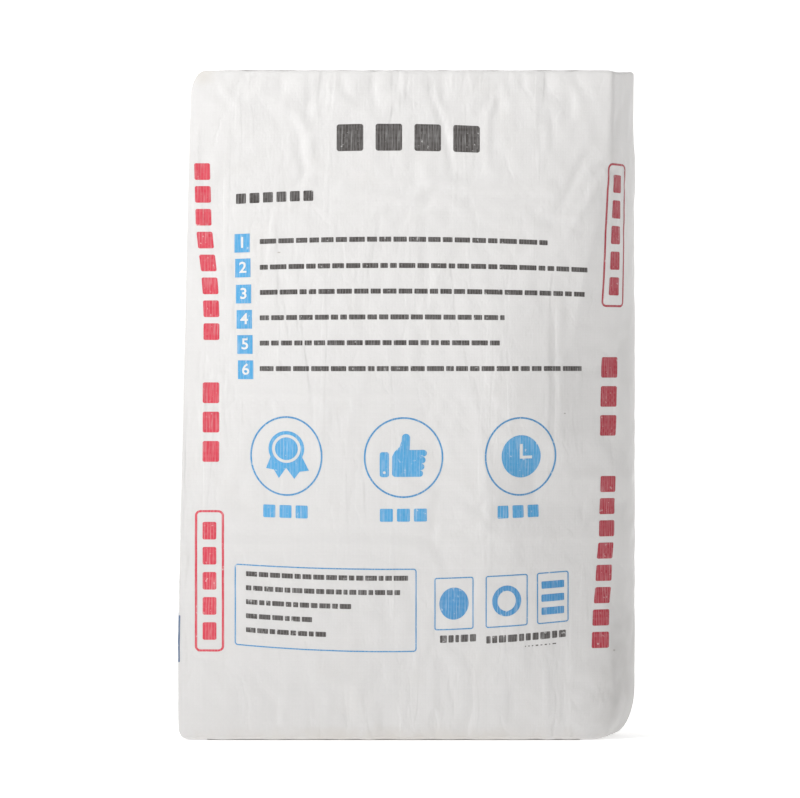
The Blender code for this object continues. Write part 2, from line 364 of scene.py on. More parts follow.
FOLD_POWER = 1.15  # of a fold's profile: 2 would be soft and 1 quite sharp
FOLD_WIDTH = 0.72  # of the drawn widths
FOLD_RISE = 1.25  # of the drawn heights
FOLD_REACH = 4  # widths, beyond which a fold isn't reckoned


def distance_to_path(s, z, path):
    """(distance to a path of places, share of the way along it)."""
    best = np.full(s.shape, 1e9)
    place = np.zeros(s.shape)
    legs = list(zip(path, path[1:]))
    for k, ((s0, z0), (s1, z1)) in enumerate(legs):
        ds, dz = s1 - s0, z1 - z0
        t = share(((s - s0) * ds + (z - z0) * dz) / (ds * ds + dz * dz))
        far = np.hypot(s - (s0 + t * ds), z - (z0 + t * dz))
        place = np.where(far < best, (k + t) / len(legs), place)
        best = np.minimum(far, best)
    return best, place


def front_place(x, z):
    """The fabric's s at x from the origin, where the sack leans."""
    lean = lean_at(z)
    return (x - lean) / (1 - lean / HALF_WIDTH)


def drawn_folds():
    """All folds as (rise, width, path of fabric places): the drawn ones, and random ones elsewhere."""
    folds = []
    for rise, width, path in FOLDS:
        places = [(front_place(x * MM, z * MM), z * MM) for x, z in path]
        folds.append((rise * MM * FOLD_RISE, width * MM * FOLD_WIDTH, places))
    draw = random.Random(7)
    for k in range(RANDOM_FOLDS):
        s = draw.uniform(0.20, 2 * HALF_GIRTH - 0.20)
        s -= 2 * HALF_GIRTH if s > HALF_GIRTH else 0.0
        head = k % 2
        z = HEIGHT - draw.uniform(0.0, 0.02) if head else draw.uniform(0.0, 0.6)
        fall = draw.uniform(0.02, 0.07) * (1.0 if head else draw.choice((-0.8, 0.8)))
        bends = draw.uniform(-0.008, 0.008), draw.uniform(-0.015, 0.015)
        path = [(s, z), (s + bends[0], z - fall), (s + bends[1], z - 1.8 * fall)]
        rise = draw.choice((-1, -1, 1)) * draw.uniform(0.3, 1.0) * MM
        folds.append((rise, draw.uniform(2.5, 8.0) * MM, path))
    return folds


def relief(s, z):
    """How far the fabric stands off its plain shape."""
    height = np.zeros(s.shape)
    for rise, width, path in drawn_folds():
        places = np.array(path)
        low, high = places.min(axis=0) - FOLD_REACH * width, places.max(axis=0) + FOLD_REACH * width
        rows = np.flatnonzero((z[:, 0] > low[1]) & (z[:, 0] < high[1]))
        columns = np.flatnonzero((s[0] > low[0]) & (s[0] < high[0]))
        part = np.ix_(rows, columns)
        far, place = distance_to_path(s[part], z[part], path)
        height[part] += rise * np.sin(pi * (0.12 + 0.76 * place)) * np.exp(-((far / width) ** FOLD_POWER))
    height[:, -1] = height[:, 0]
    return height + ripples(s, z)


def ripples(s, z):
    """Low uneven waves of the fabric, upright and stronger where the sack is slack."""
    draw = random.Random(3)
    total = np.zeros(s.shape)
    turn = tau / (2 * HALF_GIRTH)
    for _ in range(40):
        around = draw.randint(8, 60) * draw.choice((-1, 1))
        up = draw.uniform(-1, 1) * abs(around) * 0.35 * turn
        total += np.sin(around * turn * s + up * z + draw.uniform(0, tau)) / sqrt(abs(around))
    return RIPPLE * (RIPPLE_REST + (1 - fullness(z))) * total


def settled(points, heights):
    """How far the slack fabric moves as it settles, from a cloth simulation."""
    rows = np.arange(FOLD_STEPS, len(heights) - FOLD_STEPS, SETTLE_STEP)
    columns = np.arange(0, COLUMNS, SETTLE_STEP)
    cage = points[rows][:, columns]
    count, around = cage.shape[:2]
    piece = mesh_object("settling", cage.reshape(-1, 3), cells(ring_numbers(count, around)))
    hold, slack = (piece.vertex_groups.new(name=name) for name in ("hold", "slack"))
    for row in range(count):
        members = list(range(row * around, (row + 1) * around))
        hold.add(members, 1.0 if row in (0, count - 1) else HOLD, "REPLACE")
        slack.add(members, 1 - fullness(heights[rows[row]]), "REPLACE")
    cloth = piece.modifiers.new("cloth", "CLOTH").settings
    cloth.quality = 6
    cloth.mass = 0.05
    cloth.tension_stiffness = cloth.compression_stiffness = 60.0
    cloth.shear_stiffness = 20.0
    cloth.bending_stiffness = BENDING
    cloth.vertex_group_mass = "hold"
    cloth.vertex_group_shrink = "slack"
    cloth.shrink_min, cloth.shrink_max = -SLACK_EVERYWHERE, -SLACK
    cloth.effector_weights.gravity = 0.0
    for step in range(1, SETTLE_FRAMES + 1):
        bpy.context.scene.frame_set(step)
    seen = piece.evaluated_get(bpy.context.evaluated_depsgraph_get()).to_mesh()
    moved = np.empty(count * around * 3, np.float32)
    seen.vertices.foreach_get("co", moved)
    bpy.context.scene.frame_set(1)
    bpy.data.objects.remove(piece)
    move = moved.reshape(count, around, 3) - cage
    far = np.linalg.norm(move, axis=2, keepdims=True)
    move *= np.minimum(1.0, SETTLE_CAP / np.maximum(far, 1e-9))
    ring, columns = closed(move), np.append(columns, COLUMNS)
    whole = np.zeros(points.shape)
    for axis in range(3):
        upright = np.transpose([np.interp(np.arange(len(heights)), rows, line) for line in ring[..., axis].T])
        whole[..., axis] = [np.interp(np.arange(COLUMNS + 1), columns, line) for line in upright]
    return softened(whole)


def softened(grid):
    """A wall-sized grid with each value averaged a little with its neighbours'."""
    ring = grid[:, :-1]
    ring = (2 * ring + np.roll(ring, 1, axis=1) + np.roll(ring, -1, axis=1)) / 4
    inner = (2 * ring[1:-1] + ring[:-2] + ring[2:]) / 4
    return closed(np.concatenate([ring[:1], inner, ring[-1:]]))


class Wall:
    """The sack's wall as a grid of points: rows from the foot, columns round from the back's middle."""

    def __init__(self):
        self.z = wall_rows()[:, 0]
        self.s = column_s()
        self.plain = plain_wall()
        s, z = np.meshgrid(self.s, self.z)
        self.points = self.plain + normals_of(self.plain) * relief(s, z)[..., None]
        self.points += settled(self.points, self.z)
        self.normals = normals_of(self.points)

    def mixed(self, grid, s, z):
        """A grid's values between its rows and columns, at fabric places."""
        column = np.interp(s, self.s, np.arange(len(self.s)))
        row = np.interp(z, self.z, np.arange(len(self.z)))
        i = np.minimum(column.astype(int), len(self.s) - 2)
        j = np.minimum(row.astype(int), len(self.z) - 2)
        u, v = (column - i)[:, None], (row - j)[:, None]
        low = grid[j, i] * (1 - u) + grid[j, i + 1] * u
        high = grid[j + 1, i] * (1 - u) + grid[j + 1, i + 1] * u
        return low * (1 - v) + high * v

    def at(self, s, z, lift):
        """Points at fabric places, lifted off the wall."""
        normal = self.mixed(self.normals, s, z)
        return self.mixed(self.points, s, z) + lift * normal / np.linalg.norm(normal, axis=1, keepdims=True)

    def front_places(self, x, z):
        """The fabric places that the camera sees at (x, z) of the plane at the sack's front."""
        s, up = np.array(x, float), np.array(z, float)
        for _ in range(PLACE_STEPS):
            point = self.mixed(self.plain, s, up)
            nearer = (CAMERA_DISTANCE - DEPTH / 2) / (CAMERA_DISTANCE + point[:, 1])
            s += x - point[:, 0] * nearer
            up += z - CAMERA_HEIGHT - (point[:, 2] - CAMERA_HEIGHT) * nearer
        return s, up


def end_grid(ring, level):
    """A block end's points [j][i], j from the front and i from the left: level but for its rim."""
    front, right, back, left = (ring[k] for k in end_sides())
    across, deep = len(front) - 1, len(left) - 1
    i, j = np.meshgrid(np.arange(across + 1), np.arange(deep + 1))
    u, v = i[..., None] / across, j[..., None] / deep
    grid = (1 - v) * front + v * back + (1 - u) * left[:, None] + u * right[:, None]
    grid -= (1 - v) * ((1 - u) * front[0] + u * front[-1]) + v * ((1 - u) * back[0] + u * back[-1])
    from_rim = np.minimum(np.minimum(i, across - i), np.minimum(j, deep - j))
    grid[..., 2] += (level - grid[..., 2]) * smooth_step(from_rim / END_RIM)
    return grid


END_RIM = 2.3  # cells


def end_sides():
    """The wall's columns along a block end's front, right, back and left."""
    across, deep = np.arange(2 * FRONT_STEPS + 1), np.arange(2 * SIDE_STEPS + 1)
    front_left, front_right = MIDDLE - FRONT_STEPS, MIDDLE + FRONT_STEPS
    back_left = front_left - 2 * SIDE_STEPS
    sides = front_left + across, front_right + deep, back_left - across, front_left - deep
    return [side % COLUMNS for side in sides]


def uv_layer(mesh, name, corners):
    """Write a UV for each face corner."""
    layer = mesh.uv_layers.new(name=name)
    layer.data.foreach_set("uv", np.asarray(corners, np.float32).ravel())


def linked(name, data):
    """A new object in the scene."""
    made = bpy.data.objects.new(name, data)
    bpy.context.scene.collection.objects.link(made)
    return made


def mesh_object(name, points, faces):
    """A smooth mesh object from points and faces."""
    mesh = bpy.data.meshes.new(name)
    mesh.from_pydata(np.asarray(points).tolist(), [], np.asarray(faces).tolist())
    mesh.shade_smooth()
    return linked(name, mesh)


def cells(grid):
    """A list of a grid's cells, each with what the grid holds at its four corners."""
    corners = np.stack([grid[:-1, :-1], grid[:-1, 1:], grid[1:, 1:], grid[1:, :-1]], 2)
    return corners.reshape(-1, 4, *grid.shape[2:])


def ring_numbers(rows, columns):
    """The numbers of a closed wall's points."""
    return closed(np.arange(rows * columns).reshape(rows, columns))


MAP_MARGIN = 0.004
END_MAP_LEFT, END_MAP_GAP = 0.005, 0.03  # left of the ends on the baking layout, and round them


def sack_object(wall):
    """The sack as one closed mesh, with its fabric places and its baking layout as UVs."""
    rows = len(wall.z)
    points = [wall.points[:, :-1].reshape(-1, 3)]
    faces = [cells(ring_numbers(rows, COLUMNS))]
    fabric = [cells(np.stack(np.meshgrid(wall.s, wall.z), -1))]
    scale = (1 - 2 * MAP_MARGIN) / (2 * HALF_GIRTH)
    layout = [(fabric[0] + [HALF_GIRTH, 0]) * scale + MAP_MARGIN]
    for top in (False, True):
        ring = wall.points[-1 if top else 0, :-1]
        grid = end_grid(ring, CROWN if top else BASE)
        number = np.full(grid.shape[:2], -1)
        number[0], number[:, -1], number[-1], number[:, 0] = end_sides()
        number[number >= 0] += (rows - 1) * COLUMNS * top
        inside = number < 0
        number[inside] = sum(len(p) for p in points) + np.arange(inside.sum())
        points.append(grid[inside])
        quads, corners = cells(number), cells(grid[..., :2])
        if not top:
            quads, corners = quads[:, ::-1], corners[:, ::-1]
        faces.append(quads)
        fabric.append(corners + [0, HEIGHT + END_DEPTH])
        middle = [HALF_WIDTH + END_MAP_LEFT, HEIGHT + END_MAP_GAP + END_DEPTH / 2]
        middle[0] += (2 * HALF_WIDTH + END_MAP_GAP) * top
        layout.append((corners + middle) * scale + MAP_MARGIN)
    piece = mesh_object("sack", np.concatenate(points), np.concatenate(faces))
    sharpen_folds(piece.data, rows)
    uv_layer(piece.data, "fabric", np.concatenate(fabric))
    uv_layer(piece.data, "OFBake", np.concatenate(layout))
    return piece


def sharpen_folds(mesh, rows):
    """Shade the wall's left folds as crisp ones."""
    ends = np.empty(2 * len(mesh.edges), np.int32)
    mesh.edges.foreach_get("vertices", ends)
    first, second = ends.reshape(-1, 2).T
    upright = (first % COLUMNS == second % COLUMNS) & (np.maximum(first, second) < rows * COLUMNS)
    mesh.edges.foreach_set("use_edge_sharp", upright & np.isin(first % COLUMNS, LEFT_FOLDS))


class Shader:
    """Short calls that add a material's nodes."""

    def __init__(self, name):
        self.material = bpy.data.materials.new(name)
        self.material.use_nodes = True
        self.tree = self.material.node_tree

    def fill(self, made, entries):
        """Link or set a node's inputs, given by name or number."""
        for key, value in entries.items():
            if isinstance(value, bpy.types.NodeSocket):
                self.tree.links.new(value, made.inputs[key])
            else:
                made.inputs[key].default_value = value

    def surfaced(self, entries):
        """The material, with the inputs of its surface filled."""
        self.fill(self.tree.nodes["Principled BSDF"], entries)
        return self.material

    def node(self, kind, entries=(), **settings):
        made = self.tree.nodes.new("ShaderNode" + kind)
        for key, value in settings.items():
            setattr(made, key, value)
        self.fill(made, dict(entries))
        return made

    def math(self, operation, *values, clamp=False):
        return self.node("Math", enumerate(values), operation=operation, use_clamp=clamp).outputs[0]

    def ramp(self, value, low, high, to_low=0.0, to_high=1.0):
        """A smooth change of value from one range to another."""
        entries = enumerate((value, low, high, to_low, to_high))
        return self.node("MapRange", entries, interpolation_type="SMOOTHSTEP").outputs[0]

    def mix(self, share, first, second):
        """A colour mixed from two."""
        colours = [c if isinstance(c, bpy.types.NodeSocket) else (*c, 1.0) for c in (first, second)]
        return self.node("Mix", {0: share, 6: colours[0], 7: colours[1]}, data_type="RGBA").outputs[2]

    def object_place(self):
        return self.node("TexCoord").outputs["Object"]

    def fabric_place(self):
        """The fabric's own (s, z)."""
        return self.node("UVMap", uv_map="fabric").outputs[0]

    def parts(self, vector):
        """A vector's three numbers."""
        return self.node("SeparateXYZ", {0: vector}).outputs

    def noise(self, scale, detail=3.0, stretch=None, place=None):
        """Noise from 0 to 1, its scale in waves a metre."""
        place = place or self.object_place()
        if stretch:
            place = self.node("Mapping", {"Vector": place, "Scale": stretch}).outputs[0]
        return self.node("TexNoise", {"Vector": place, "Scale": scale, "Detail": detail}).outputs["Fac"]

    def bump(self, height, distance, strength, under=None):
        """A relief, on the normal of another one under it."""
        entries = {"Height": height, "Distance": distance, "Strength": strength}
        return self.node("Bump", entries | ({"Normal": under} if under else {})).outputs[0]


TAPE = 0.0026  # width of a woven tape
SHEEN = 0.32  # specular level of coated fabric and of the ink on it


def weave(shader):
    """The plain weave of flat tapes: (height, distance from a tape's edge, a shade for each tape)."""
    math, ramp = shader.math, shader.ramp
    place = shader.parts(shader.fabric_place())
    across = [math("DIVIDE", place[k], TAPE) for k in range(2)]
    over, edge, shade = [], [], []
    for k in range(2):
        side = ramp(math("PINGPONG", across[k], 0.5), 0.0, 0.14)
        crown = math("MULTIPLY_ADD", ramp(math("PINGPONG", across[1 - k], 0.5), 0.0, 0.5), 0.5, 0.5)
        over.append(math("MULTIPLY", side, crown))
        edge.append(side)
        tape = shader.node("TexWhiteNoise", {"W": math("FLOOR", across[k])}, noise_dimensions="1D")
        shade.append(tape.outputs["Value"])
    tiles = math("ADD", math("FLOOR", across[0]), math("FLOOR", across[1]))
    upright = math("MODULO", math("ABSOLUTE", tiles), 2.0)
    return [math("MULTIPLY_ADD", math("SUBTRACT", *pair), upright, pair[1]) for pair in (over, edge, shade)]


def fabric_bump(shader, height):
    """The weave's own relief on the small crumples of coated fabric."""
    math, ramp, noise = shader.math, shader.ramp, shader.noise
    creased = math("ABSOLUTE", math("SUBTRACT", noise(24.0, 4.0, (1.0, 1.0, 0.6)), 0.5))
    both = math("MULTIPLY_ADD", ramp(creased, 0.0, 0.06), 0.25, noise(38.0, 5.0, (1.0, 1.0, 0.45)))
    steps = ramp(noise(15.0, 4.0, (1.0, 1.0, 0.22)), 0.48, 0.52)
    steps = math("MULTIPLY", steps, ramp(noise(8.0), 0.40, 0.62))
    streaks = ramp(noise(60.0, 2.0, (1.0, 1.0, 0.08)), 0.60, 0.68)
    steps = math("MULTIPLY_ADD", streaks, 0.35, steps)
    crumpled = shader.bump(steps, 0.0011, 0.4, shader.bump(both, 0.0013, 0.4))
    return shader.bump(height, 0.00007, 0.35, crumpled)


def coated(shader, height, colour, spread, roughness):
    """The look of coated fabric or of the ink on it."""
    return shader.surfaced({
        "Base Color": colour,
        "Roughness": shader.math("MULTIPLY_ADD", shader.noise(60.0), spread, roughness),
        "Specular IOR Level": SHEEN,
        "Normal": fabric_bump(shader, height),
    })


def woven_material(name, colour, dusty=0.0, stains_and_shade=()):
    """White coated fabric, with painted shade that makes it a little darker towards its foot."""
    shader = Shader(name)
    math, ramp, noise = shader.math, shader.ramp, shader.noise
    height, edge, shade = weave(shader)
    tone = math("MULTIPLY_ADD", shade, 0.016, 0.984)
    tone = math("MULTIPLY", tone, math("MULTIPLY_ADD", edge, 0.012, 0.988))
    # Painted shade: the colour darkens towards the foot, standing in for the light falling off lower down.
    tone = math("MULTIPLY", tone, ramp(shader.parts(shader.object_place())[2], 0.0, 0.45, 0.90, 1.0))
    tone = math("MULTIPLY", tone, ramp(noise(9.0, 4.0), 0.3, 0.7, 0.975, 1.0))
    scaled = shader.node("VectorMath", {0: colour, "Scale": tone}, operation="SCALE").outputs[0]
    dust = math("MULTIPLY", ramp(noise(26.0, 6.0), 0.52, 0.75), 0.07 + dusty)
    clean = shader.mix(dust, scaled, (0.62, 0.585, 0.53))
    # The stains, and any painted shade given along with them
    for place, radii, stain_or_shade_colour, strength in stains_and_shade:
        clean = shader.mix(stained(shader, place, radii, strength), clean, stain_or_shade_colour)
    return coated(shader, height, clean, 0.14, 0.38)


# Stains on the fabric, and one patch of painted shade at the right foot corner
STAINS_AND_PAINTED_SHADE = [  # (middle, half sizes, colour, strength)
    ((-0.194, -0.03, 0.624), (0.026, 0.09, 0.014), (0.62, 0.58, 0.51), 0.40),
    ((0.1951, -0.05, 0.0835), (0.0016, 0.03, 0.0013), (0.16, 0.09, 0.06), 0.9),
    ((-0.1190, -0.07, 0.4560), (0.0022, 0.03, 0.0010), (0.42, 0.38, 0.34), 0.7),
    ((0.1480, -0.06, 0.3060), (0.0016, 0.03, 0.0009), (0.30, 0.27, 0.25), 0.7),
    ((0.0, 0.0, 0.0), (0.30, 0.12, 0.020), (0.56, 0.52, 0.46), 0.45),
    # Painted shade, not a stain: the pressed right foot corner is darkened where it turns away from the
    # light.
    ((0.235, 0.0, 0.03), (0.085, 0.2, 0.15), (0.56, 0.55, 0.54), 0.95),
]


def stained(shader, place, radii, strength):
    """How much of a stain or of painted shade shows: it fades from its middle to an uneven edge."""
    entries = {"Vector": shader.object_place(), "Location": place, "Scale": radii}
    inside = shader.node("Mapping", entries, vector_type="TEXTURE").outputs[0]
    length = shader.node("VectorMath", {0: inside}, operation="LENGTH").outputs["Value"]
    edge = shader.math("MULTIPLY_ADD", shader.noise(55.0, 4.0), 0.7, -0.35)
    return shader.ramp(shader.math("ADD", length, edge), 1.0, 0.25, 0.0, strength)


def ink_material(name, colour):
    """Ink on the fabric: thin on the tapes' upright edges, streaky and rubbed, with painted shade that
    darkens it towards the right.
    """
    shader = Shader(name)
    math, ramp, noise = shader.math, shader.ramp, shader.noise
    height, _, shade = weave(shader)
    across = shader.parts(shader.fabric_place())[0]
    seam = ramp(math("PINGPONG", math("DIVIDE", across, TAPE), 0.5), 0.10, 0.0, 0.0, 0.30)
    streak = ramp(noise(900.0, 2.0, (1.0, 0.05, 1.0), shader.fabric_place()), 0.50, 0.72, 0.0, 0.30)
    thin = math("ADD", math("ADD", seam, streak), math("MULTIPLY", shade, 0.08), clamp=True)
    pale = tuple(c + (0.80 - c) * 0.65 for c in colour)
    # Painted shade: the ink's colour is darkened towards the right, where the sack turns away from the light.
    painted_shade_colour = tuple(c * RIGHT_INK_PAINTED_SHADE.get(name, 1.0) for c in colour)
    inked = shader.mix(thin, shader.mix(ramp(across, -0.2, 0.2), colour, painted_shade_colour), pale)
    rubbed = ramp(noise(260.0, 5.0), 0.63, 0.73, 0.0, 0.5)
    return coated(shader, height, shader.mix(rubbed, inked, (0.78, 0.775, 0.765)), 0.12, 0.36)


def moved(x, z, steps):
    """Points at the given steps from a place."""
    return [(x + dx, z + dz) for dx, dz in steps]


def arc(x, z, radius, start, end, steps=24):
    """Points on a circle from one angle to another, in degrees."""
    turns = [pi / 180 * (start + (end - start) * i / steps) for i in range(steps + 1)]
    return [(x + radius * cos(t), z + radius * sin(t)) for t in turns]


def rectangle(left, low, right, high, radius=0.0):
    """The outline of a rectangle with rounded corners."""
    corners = [(right - radius, high - radius), (left + radius, high - radius)]
    corners += [(left + radius, low + radius), (right - radius, low + radius)]
    if not radius:
        return corners
    return sum((arc(x, z, radius, 90 * k, 90 * k + 90, 5) for k, (x, z) in enumerate(corners)), [])


def ellipse(x, z, half_width, half_height, steps=72):
    """The outline of an upright ellipse."""
    turns = [tau * i / steps for i in range(steps)]
    return [(x + half_width * cos(t), z + half_height * sin(t)) for t in turns]


def artwork_lift(s, z):
    """How far the artwork's rows stand above level on the filled fabric."""
    return SMILE * (SMILE_NONE_AT - z) / (SMILE_NONE_AT - SMILE_FULL_AT) * (s - SMILE_MIDDLE) ** 2


# Middle lines of the strips seen from the front, in millimetres: (x, z)
LEFT_STRIP = [
    (-187, 81), (-183.2, 85), (-183.2, 216), (-181.8, 270), (-181.8, 327), (-181.4, 360), (-181.4, 396),
    (-182.3, 420), (-184.1, 442), (-186.9, 464), (-188.8, 484), (-189.2, 502), (-190.2, 540),
]
RIGHT_STRIP = [
    (180.1, 85), (181, 119), (182, 130), (183.3, 147), (184.3, 169), (186.1, 192), (187, 225), (187.5, 247),
    (187.5, 285), (188, 320), (189, 353), (192.2, 406), (193.6, 440), (194.4, 470), (195.6, 503),
    (196.8, 537),
]
RIGHT_STRIP_MARK = 1.0  # added to x in the right strip


def strip_places(wall, x, z):
    """Fabric places of strip points."""
    right = x > RIGHT_STRIP_MARK / 2
    s = np.zeros(x.shape)
    for side, line in ((~right, LEFT_STRIP), (right, RIGHT_STRIP)):
        middle = np.array(line) * MM
        s[side] = wall.front_places(np.interp(z[side], middle[:, 1], middle[:, 0]), z[side])[0]
    return s + x - RIGHT_STRIP_MARK * right, z


def flat_mesh(curve):
    """The mesh inside a curve's outlines."""
    holder = linked("outlines", curve)
    flat = bpy.data.meshes.new_from_object(holder.evaluated_get(bpy.context.evaluated_depsgraph_get()))
    bpy.data.objects.remove(holder)
    bpy.data.curves.remove(curve)
    return flat


def filled(outlines):
    """A flat mesh inside outlines, where one outline in another is a hole."""
    curve = bpy.data.curves.new("outlines", "CURVE")
    curve.dimensions = "2D"
    curve.fill_mode = "BOTH"
    for outline in outlines:
        spline = curve.splines.new("POLY")
        spline.points.add(len(outline) - 1)
        spline.points.foreach_set("co", [n for s, z in outline for n in (s, z, 0.0, 1.0)])
        spline.use_cyclic_u = True
    return flat_mesh(curve)


def cut_along(shape, axis, lines):
    """Cut a flat bmesh along upright or level lines."""
    values = [v.co[axis] for v in shape.verts]
    normal = Vector((1, 0, 0) if axis == 0 else (0, 1, 0))
    for line in lines:
        if min(values) < line < max(values):
            everything = shape.verts[:] + shape.edges[:] + shape.faces[:]
            bmesh.ops.bisect_plane(shape, geom=everything, dist=1e-7, plane_co=normal * line, plane_no=normal)


def front_artwork(wall, x, z):
    """Fabric places of the artwork between the strips."""
    return wall.front_places(x, z + artwork_lift(x, z))


def side_artwork(wall, x, z):
    return x, z


def printed(wall, shapes, lift, place):
    """A bmesh of flat shapes laid on the wall, with fabric places as its UVs."""
    joined = bmesh.new()
    for mesh in shapes:
        flat = bmesh.new()
        flat.from_mesh(mesh)
        for axis in range(2):
            cut_along(flat, axis, np.arange(-0.6, 1.2, 4 * CELL) + CELL / 3)
        x, z = np.array([v.co[:2] for v in flat.verts]).T
        for vertex, at in zip(flat.verts, zip(*place(wall, x, z))):
            vertex.co.xy = at
        cut_along(flat, 0, wall.s)
        cut_along(flat, 1, wall.z)
        flat.to_mesh(mesh)
        flat.free()
        joined.from_mesh(mesh)
        bpy.data.meshes.remove(mesh)
    bmesh.ops.triangulate(joined, faces=joined.faces[:])
    layer = joined.loops.layers.uv.new("fabric")
    for face in joined.faces:
        if face.normal.z < 0:
            face.normal_flip()
        for loop in face.loops:
            loop[layer].uv = loop.vert.co[:2]
    s, z = np.array([v.co[:2] for v in joined.verts]).T
    for vertex, point in zip(joined.verts, wall.at(s, z, lift)):
        vertex.co = point
    return joined


def print_object(name, wall, shapes, ink, lift=PRINT_LIFT, place=front_artwork):
    """One ink's part of the print as an object."""
    made = printed(wall, shapes, lift, place)
    mesh = bpy.data.meshes.new(name)
    made.to_mesh(mesh)
    made.free()
    mesh.shade_smooth()
    mesh.materials.append(ink)
    piece = linked(name, mesh)
    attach(piece, "root")


# The artwork as seen from the front, in millimetres from the origin and the floor
INKS = {
    "ink_blue": (0.085, 0.385, 0.71),
    "ink_line_blue": (0.062, 0.30, 0.60),
    "ink_dark": (0.070, 0.063, 0.060),
    "ink_red": (0.66, 0.052, 0.085),
    "ink_slate": (0.10, 0.16, 0.26),
}
# Painted shade: how much of each ink's colour is kept at the right, darker where the sack turns away from the
# light.
RIGHT_INK_PAINTED_SHADE = {"ink_blue": 0.84, "ink_line_blue": 0.84, "ink_red": 0.60}  # of the colour on the left
NUMBERED_LINES = [  # (number square's middle, the line's middle, its right end)
    (467.2, 468.0, 131.0), (443.5, 443.6, 168.0), (418.7, 419.8, 165.5),
    (394.6, 395.8, 91.0), (370.7, 371.9, 86.5), (346.7, 347.8, 163.0),
]
SQUARE_HALVES = 7.1, 8.9  # half width, half height
SQUARE_MIDDLE = (-152.9, -149.6)  # of the first and the last
LINE_LEFT, LINE_HEIGHT = -136.5, 4.6
RINGS_AT = [(-111.8, 265.5), (-2.9, 265.0), (105.8, 264.5)]
RING_HALVES = [(33.6, 37.4), (37.0, 37.6), (33.3, 37.4)]
RING_LINE = 1.6
CAPTIONS = [(-133.2, -92.0, 213.4), (-24.9, 18.7, 211.4), (84.7, 122.8, 212.1)]
CAPTION_HEIGHT = 12.0


def shape(*outlines):
    """One printed shape with its holes, from outlines in millimetres."""
    return filled([[(x * MM, z * MM) for x, z in outline] for outline in outlines])


def words(left, right, middle, height, seed, longest=17.0, gap=2.0):
    """A line of plain bars of uneven lengths, as far as its right end."""
    draw = random.Random(seed)
    made = []
    while left < right - 2.5:
        end = min(left + draw.uniform(0.35, 1.0) * longest, right)
        if right - end < 4.0:
            end = right
        made.append(shape(rectangle(left, middle - height / 2, end, middle + height / 2, height * 0.12)))
        left = end + gap
    return made


def spaced(low, high, count, gap):
    """(start, end) of equal parts between low and high, with gaps between them."""
    part = (high - low - gap * (count - 1)) / count
    starts = [low + k * (part + gap) for k in range(count)]
    return [(start, start + part) for start in starts]


def blocks(left, right, middle, height, count, gap):
    """Equal plain blocks in a row."""
    low, high, radius = middle - height / 2, middle + height / 2, height * 0.09
    return [shape(rectangle(start, low, end, high, radius)) for start, end in spaced(left, right, count, gap)]


def dark_lines():
    """The heading, the numbered lines, the long frame's lines and the small frames' captions."""
    made = blocks(-65.0, 68.0, 563.0, 25.0, 4, 11.5)
    made += blocks(-158.6, -86.8, 509.6, 9.6, 6, 3.4)
    for k, (_, middle, right) in enumerate(NUMBERED_LINES):
        made += words(LINE_LEFT, right, middle, LINE_HEIGHT, k)
    for k, right in enumerate((1.2, -6.2, -51.7, -88.0, -75.0)):
        made += words(-149.3, right, 152.6 - 13.3 * k, 4.6, 20 + k, 11.0, 1.6)
    made += words(31.0, 64.5, 95.2, 6.8, 30, 9.0, 1.6)
    made += words(74.0, 148.0, 92.4, 6.8, 31, 11.0, 1.6)
    made += words(110.0, 139.0, 83.6, 1.0, 32, 2.4, 2.2)
    return made


def number_middles():
    """The middle of each number square."""
    return zip(np.linspace(*SQUARE_MIDDLE, len(NUMBERED_LINES)), (line[0] for line in NUMBERED_LINES))


def number_squares():
    wide, high = SQUARE_HALVES
    return [shape(rectangle(x - wide, z - high, x + wide, z + high)) for x, z in number_middles()]


def numerals():
    """The plain numbers in the squares."""
    made = []
    for k, (x, z) in enumerate(number_middles(), 1):
        text = bpy.data.curves.new("numeral", "FONT")
        text.body = str(k)
        text.align_x = text.align_y = "CENTER"
        text.size = 14.5 * MM
        text.offset = 0.25 * MM
        made.append(flat_mesh(text))
        for vertex in made[-1].vertices:
            vertex.co.x += x * MM
            vertex.co.y += z * MM
    return made


def rosette(x, z):
    """A round medal with two ribbon ends."""
    z += 6.9
    ribbons = [(-18.8, -18.6), (-11.6, -19.8), (-6.9, -27.8), (-0.2, -18.0)]
    ribbons += [(7.4, -28.2), (12.4, -21.4), (21.0, -20.2)]
    outer = arc(x, z, 16.6, -28, 208) + moved(x, z, ribbons)
    return [shape(outer, ellipse(x, z, 13.3, 13.3)), shape(ellipse(x, z, 10.6, 10.6))]


def raised_thumb(x, z):
    """A hand with its thumb up, and its cuff with a button."""
    left_side = [(-10.6, 1.0), (-8.2, 5.6), (-3.9, 9.5), (-2.0, 15.0), (-1.4, 19.6)]
    thumb = arc(x + 2.2, z + 18.2, 3.9, 160, 10, 10)
    palm = moved(x, z, left_side) + thumb + [(x + 5.6, z + 7.0)]
    fingers = []
    for k in range(4):
        fingers += arc(x + 18.6 - 1.2 * k, z + 4.0 - 6.3 * k, 3.1, 88, -88, 8)
    heel = arc(x - 7.6, z - 14.9, 3.1, 270, 180, 8)
    cuff = rectangle(x - 22.2, z - 18.2, x - 13.6, z + 5.0, 2.2)
    return [shape(palm + fingers + heel), shape(cuff, ellipse(x - 17.9, z - 14.0, 1.3, 1.3, 20))]


def clock(x, z):
    """A clock face, its two hands left white."""
    hands = [(0, 0), (11.5, 0), (11.5, 2.7), (2.7, 2.7), (2.7, 14.0), (0, 14.0)]
    return [shape(ellipse(x + 0.6, z, 18.2, 20.1), moved(x - 0.6, z - 2.2, hands))]


